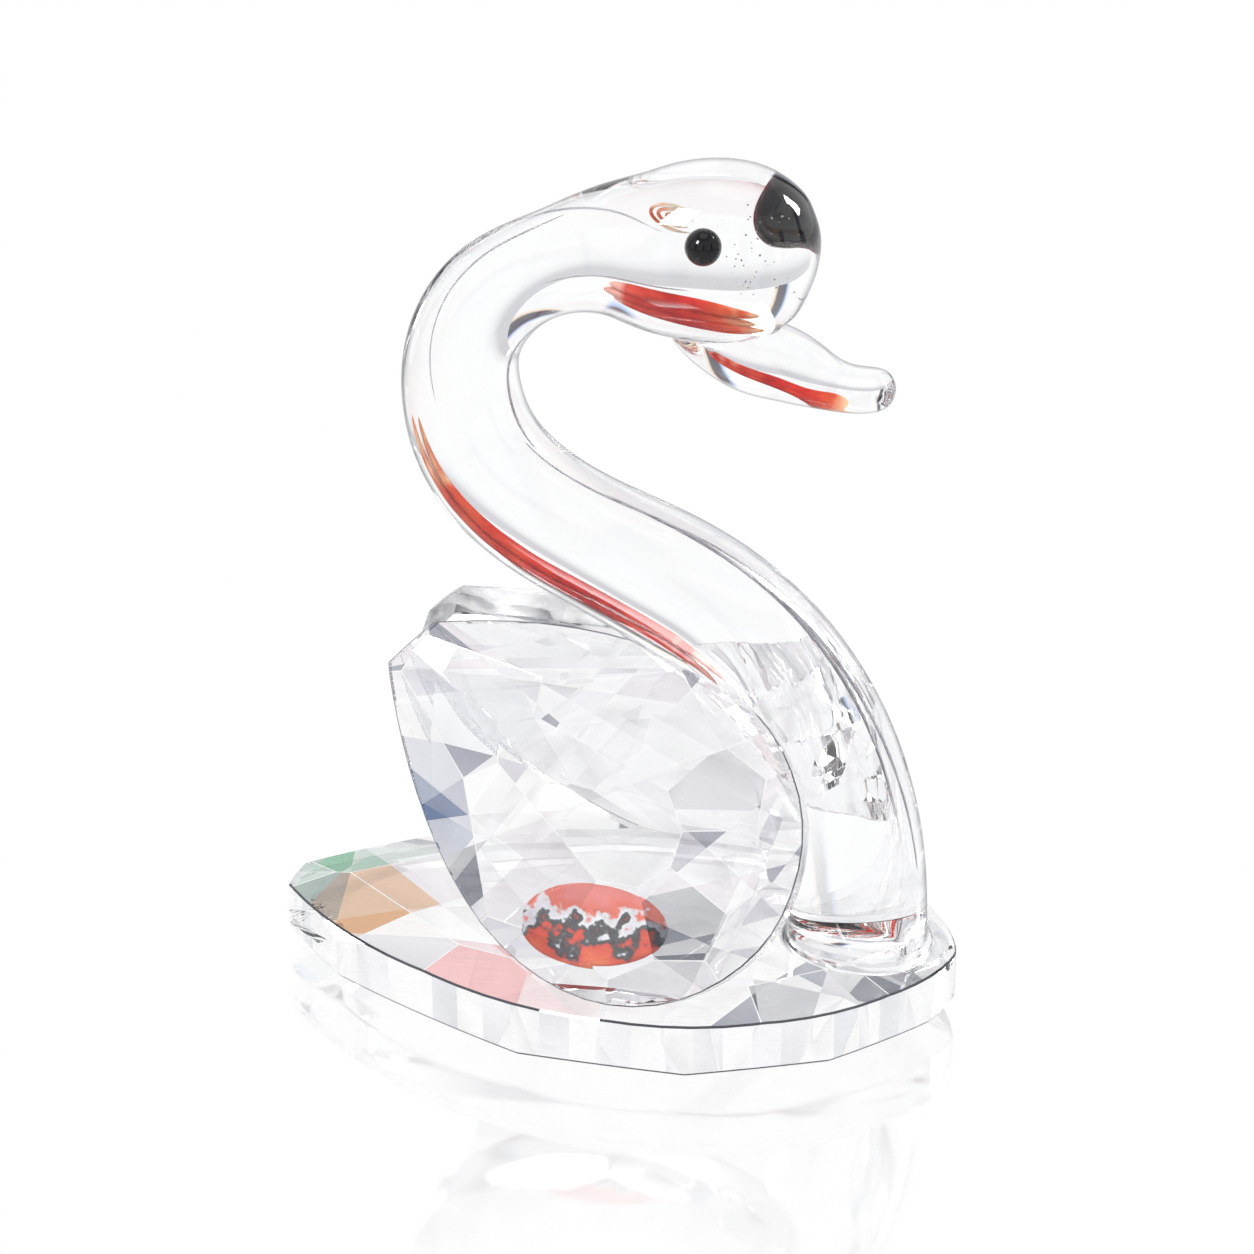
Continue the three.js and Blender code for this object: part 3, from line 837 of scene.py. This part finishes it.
def inside_of_wing(x, z):
    hit = wing_tree.ray_cast(Vector((x * MM, 0.01, z * MM)), Vector((0, -1, 0)))[0]
    return hit.y / MM if hit is not None else None


def make_red_glue_with_painted_light():
    material, tree, shader = new_material("red glue with painted void and glints", Metallic=0.0, IOR=1.4, Roughness=0.25)
    up = add_node(tree, "ShaderNodeAttribute", {"attribute_name": "up"}).outputs["Fac"]
    place = add_node(tree, "ShaderNodeTexCoord").outputs["Object"]
    patch = add_node(tree, "ShaderNodeTexNoise", Vector=place, Scale=480.0, Detail=3.0).outputs["Fac"]
    swirl = math_node(tree, "ADD", up, math_node(tree, "MULTIPLY", math_node(tree, "SUBTRACT", patch, 0.5), 1.3), clamp=True)
    # Red-orange at the bottom and top is the glue's colour; between them the black is painted shade of a void and the
    # near-white is painted glints.
    color = ramp(tree, swirl, [
        (0.0, (0.86, 0.16, 0.04)), (0.30, (0.78, 0.07, 0.03)), (0.38, (0.05, 0.055, 0.06)),
        (0.46, (0.10, 0.11, 0.12)), (0.50, (0.92, 0.92, 0.94)), (0.60, (0.85, 0.84, 0.86)),
        (0.66, (0.82, 0.16, 0.10)), (1.0, (0.85, 0.25, 0.22))])
    tree.links.new(color, shader.inputs["Base Color"])
    return material


def glue_behind_wing(name, middle, reach, height, rings=9, around=44):
    """A thin lens on the inner side of the right wing: middle and reach are (x, z) in mm."""
    layers, ups = [], []
    for i in range(rings + 1):
        share = 1 - i / (rings + 1)
        layer = []
        for t in np.arange(around) / around * math.tau:
            x, z = middle[0] + reach[0] * share * math.cos(t), middle[1] + reach[1] * share * math.sin(t)
            y = inside_of_wing(x, z)
            layer.append(Vector((x, y + 0.05, z)) * MM)
            ups.append(0.5 + 0.5 * share * math.sin(t))
        layers.append((share, layer))
    back = [[p + Vector((0, height * math.sqrt(1 - share * share) + 0.02, 0)) * MM for p in layer] for share, layer in layers]
    front = [layer for share, layer in reversed(layers)]
    mesh = loft(name, front + back)
    rows = [v for layer in (ups[i * around:(i + 1) * around] for i in reversed(range(rings + 1))) for v in layer] + ups
    mesh.attributes.new("up", "FLOAT", "POINT").data.foreach_set("value", rows + [0.5, 0.5])
    mesh.shade_smooth()
    piece = add_piece(name, mesh, make_red_glue_with_painted_light())
    return piece


glue_behind_wing("glue_behind_wing", (1.4, 12.2), (6.6, 3.2), 0.35)

# %% Glue round the neck
def make_clear_glue():
    material, tree, shader = new_material("clear glue", Metallic=0.0, Transmission_Weight=1.0, IOR=1.45)
    finish = grouped(tree, polish, Roughest=0.16, Tint=(0.9, 0.91, 0.93, 1))
    # Painted shade: the glue darkens where its faces turn edge on to the eye.
    edge = painted_contour_shade(tree, 0.55, 0.95, (0.35, 0.36, 0.4), 0.4)
    tree.links.new(multiply_colors(tree, finish.outputs["Color"], edge), shader.inputs["Base Color"])
    tree.links.new(finish.outputs["Roughness"], shader.inputs["Roughness"])
    return material


def glue_ring(name, middle, radius, around=72):
    section = [(0.0, 0.04), (0.0, 1.0), (0.25, 0.62), (0.62, 0.30), (1.15, 0.05)]
    points, faces = [], []
    for i in range(around):
        t = i / around * math.tau
        wobble = 1 + 0.10 * math.sin(3 * t + 0.6) + 0.55 * max(0.0, math.cos(t)) ** 3
        for out, up in section:
            x = middle + (radius + out * wobble) * math.cos(t)
            y = (radius + out * wobble) * math.sin(t)
            points.append(Vector((x, y, top_of_base(x, y) + up)) * MM)
        for k in range(len(section)):
            j, n = (k + 1) % len(section), len(section)
            faces.append((i * n + k, i * n + j, (i + 1) % around * n + j, (i + 1) % around * n + k))
    mesh = bpy.data.meshes.new(name)
    mesh.from_pydata(points, [], faces)
    outwards(mesh)
    mesh.shade_smooth()
    mesh.set_sharp_from_angle(angle=math.radians(50))
    piece = add_piece(name, mesh, make_clear_glue())
    return piece


glue_ring("glue_round_neck", 22.95, FOOT + 0.12)
